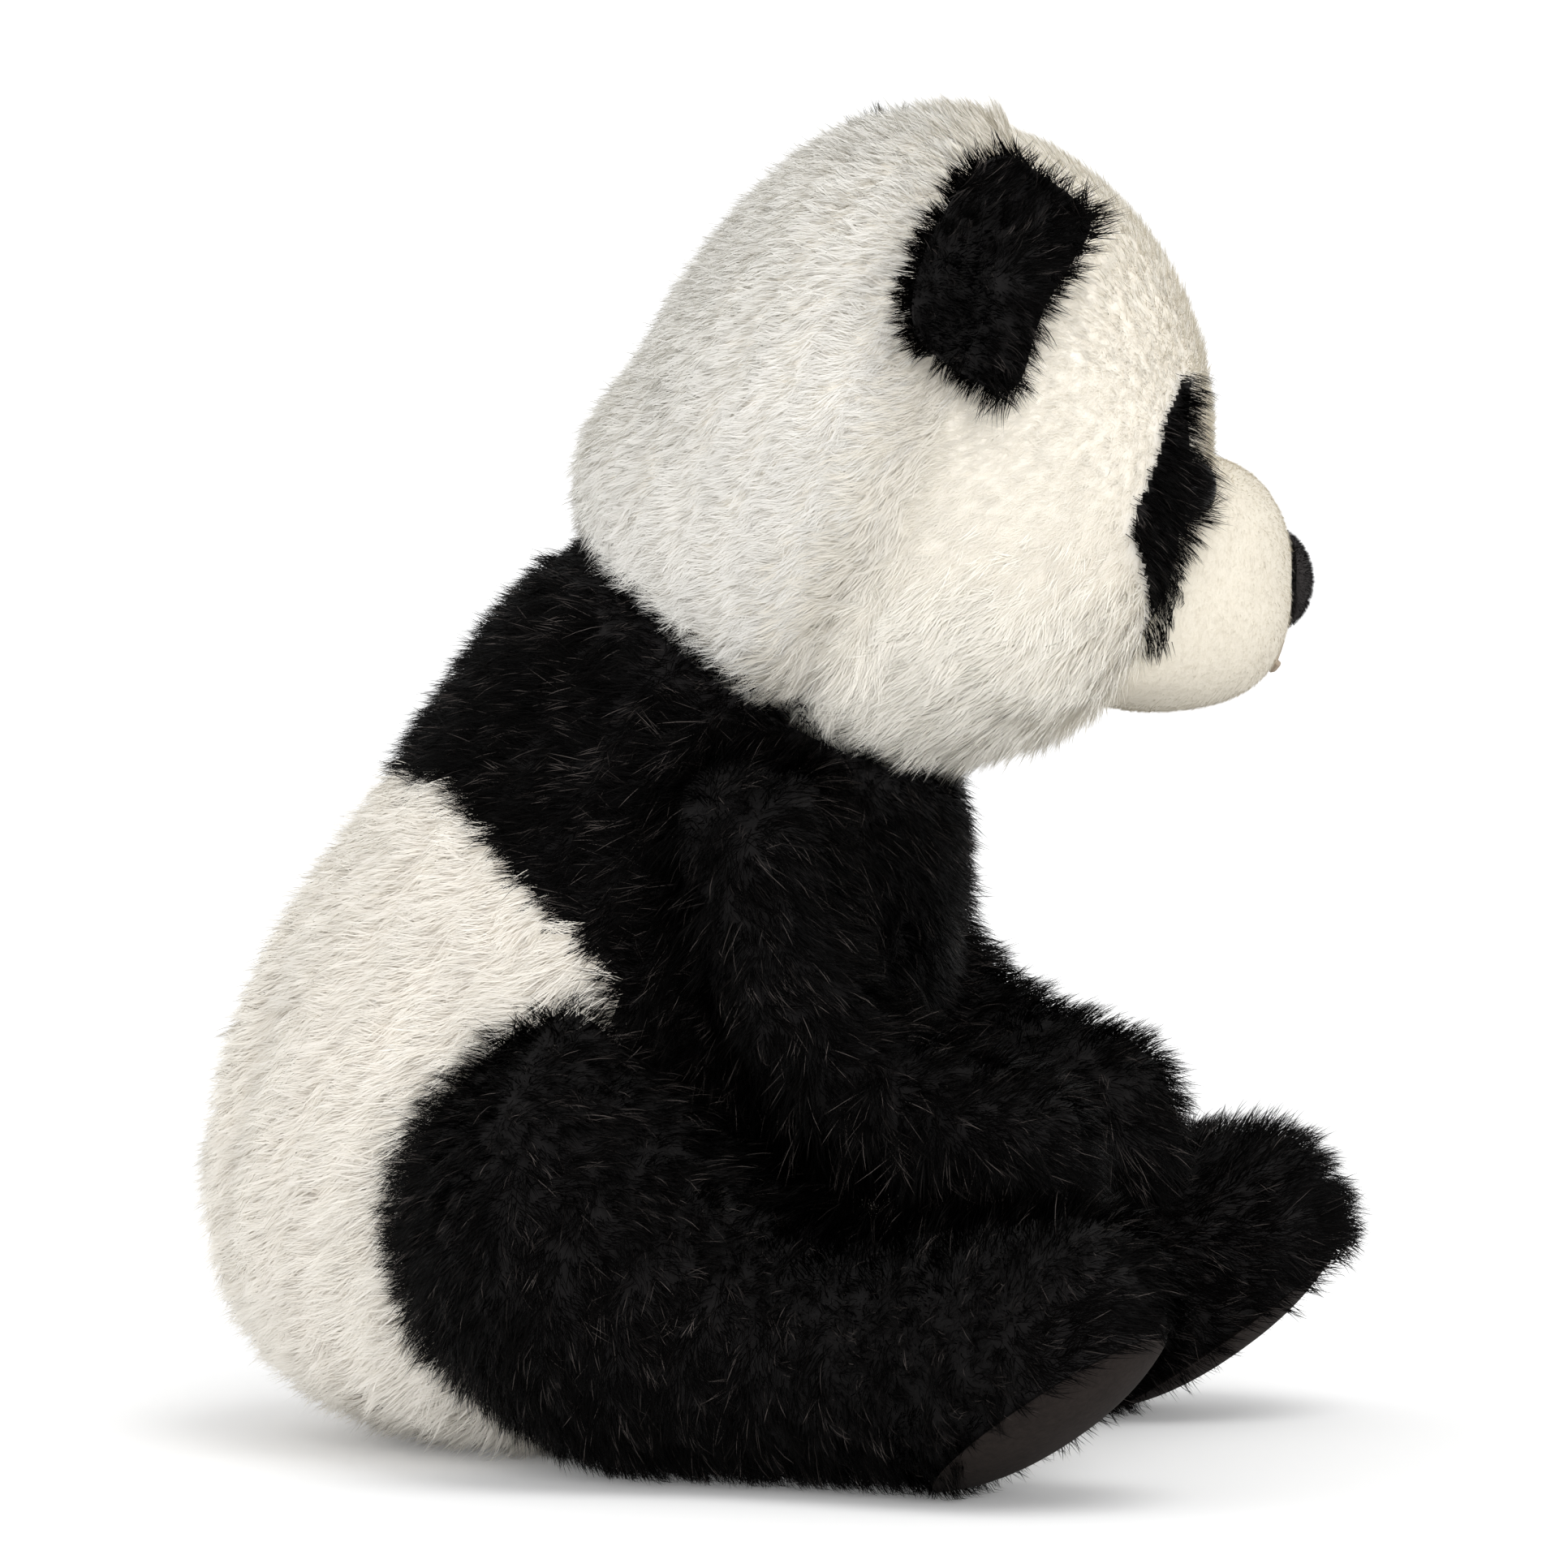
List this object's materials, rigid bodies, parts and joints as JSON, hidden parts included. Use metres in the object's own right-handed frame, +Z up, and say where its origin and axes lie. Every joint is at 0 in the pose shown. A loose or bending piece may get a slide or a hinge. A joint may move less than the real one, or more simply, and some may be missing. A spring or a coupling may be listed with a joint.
{
  "type": "plush panda",
  "caption": "Seated stuffed panda toy of long black and white pile, with a short-pile muzzle, smooth soles, a head that turns and nods, folding ears, lifting arms and swinging legs.",
  "frame": {"origin": "middle of the bounding box on the surface that it sits on", "axes": "+Z up, the panda's body faces -Y, its left side is +X"},
  "size_m": [0.222, 0.2385, 0.2906],
  "materials": {
    "white_pile": "long white pile",
    "black_pile": "long black pile",
    "short_pile": "short cream pile",
    "nose_pile": "short black pile",
    "suede": "smooth suede-like cloth",
    "eye_plastic": "polished",
    "washer_plastic": "moulded",
    "thread": "twisted thread",
    "fibre": "loose fibre filling",
    "pellet_bag": "pellets in a cloth bag"
  },
  "bodies": {
    "torso": {"body_back_left": "white_pile", "body_back_right": "white_pile", "body_belly": "white_pile", "body_seat": "white_pile", "body_stuffing": "fibre", "body_yoke": "black_pile", "pellet_pouch": "pellet_bag"},
    "neck": {"neck_seam": "thread"},
    "head": {"eye_left": "eye_plastic", "eye_patch_left": "black_pile", "eye_patch_right": "black_pile", "eye_right": "eye_plastic", "eye_washer_left": "washer_plastic", "eye_washer_right": "washer_plastic", "face_left": "white_pile", "face_right": "white_pile", "head_back_left": "white_pile", "head_back_right": "white_pile", "head_stuffing": "fibre", "mouth_stitch": "thread", "muzzle": "short_pile", "muzzle_stuffing": "fibre", "nose": "nose_pile"},
    "ear_right": {"ear_right_back": "black_pile", "ear_right_front": "black_pile"},
    "ear_left": {"ear_left_back": "black_pile", "ear_left_front": "black_pile"},
    "arm_right": {"arm_right_skin": "black_pile", "arm_right_stuffing": "fibre"},
    "arm_left": {"arm_left_skin": "black_pile", "arm_left_stuffing": "fibre"},
    "leg_right": {"leg_right_skin": "black_pile", "leg_right_stuffing": "fibre", "sole_right": "suede"},
    "leg_left": {"leg_left_skin": "black_pile", "leg_left_stuffing": "fibre", "sole_left": "suede"}
  },
  "joints": [
    {"name": "head_turn", "type": "hinge", "parent": "torso", "child": "neck", "pos_m": [0, -0.038, 0.221], "axis": [0, -0.5299, 0.848], "range_deg": [-44, 18]},
    {"name": "head_nod", "type": "hinge", "parent": "neck", "child": "head", "pos_m": [0, -0.038, 0.221], "axis": [-0.9272, -0.3746, 0], "range_deg": [-10, 10]},
    {"name": "ear_right_fold", "type": "hinge", "parent": "head", "child": "ear_right", "pos_m": [-0.05655, -0.07822, 0.25091], "axis": [0.5369, -0.1355, 0.8327], "range_deg": [-25, 25], "stiffness_Nm_per_rad": 0.02},
    {"name": "ear_left_fold", "type": "hinge", "parent": "head", "child": "ear_left", "pos_m": [0.06862, -0.02765, 0.25091], "axis": [0.2921, 0.4704, -0.8327], "range_deg": [-25, 25], "stiffness_Nm_per_rad": 0.02},
    {"name": "arm_right_raise", "type": "hinge", "parent": "torso", "child": "arm_right", "pos_m": [-0.05, -0.015, 0.136], "axis": [-1, 0, 0], "range_deg": [0, 35]},
    {"name": "arm_left_raise", "type": "hinge", "parent": "torso", "child": "arm_left", "pos_m": [0.05, -0.015, 0.136], "axis": [-1, 0, 0], "range_deg": [0, 35]},
    {"name": "leg_right_swing", "type": "hinge", "parent": "torso", "child": "leg_right", "pos_m": [-0.062, 0.056, 0.052], "axis": [0, 0, -1], "range_deg": [0, 25]},
    {"name": "leg_left_swing", "type": "hinge", "parent": "torso", "child": "leg_left", "pos_m": [0.062, 0.056, 0.052], "axis": [0, 0, 1], "range_deg": [0, 25]}
  ]
}
